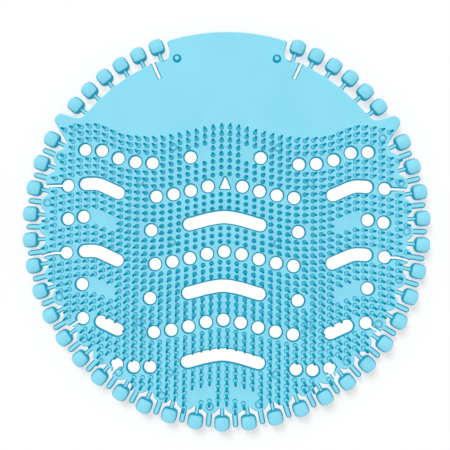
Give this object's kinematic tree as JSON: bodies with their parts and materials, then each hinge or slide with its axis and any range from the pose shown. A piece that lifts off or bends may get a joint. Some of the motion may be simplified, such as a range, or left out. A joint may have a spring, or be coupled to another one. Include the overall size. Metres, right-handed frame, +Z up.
{
  "type": "urinal deodorizer screen",
  "caption": "Round flexible screen for a urinal drain: a plate with a wavy field of bristles, drain holes and curved slots, a bare pull tab and soft bumpers round its rim.",
  "frame": {"origin": "on the surface that the screen lies on, under the middle of its outline", "axes": "+Z up out of the surface, the way the bristles point; +Y towards the pull tab; +X right"},
  "size_m": [0.1792, 0.177, 0.014],
  "materials": {
    "screen": "light blue translucent soft vinyl, smooth with a faint satin gloss"
  },
  "bodies": {
    "root": {"screen": "screen"}
  },
  "joints": []
}
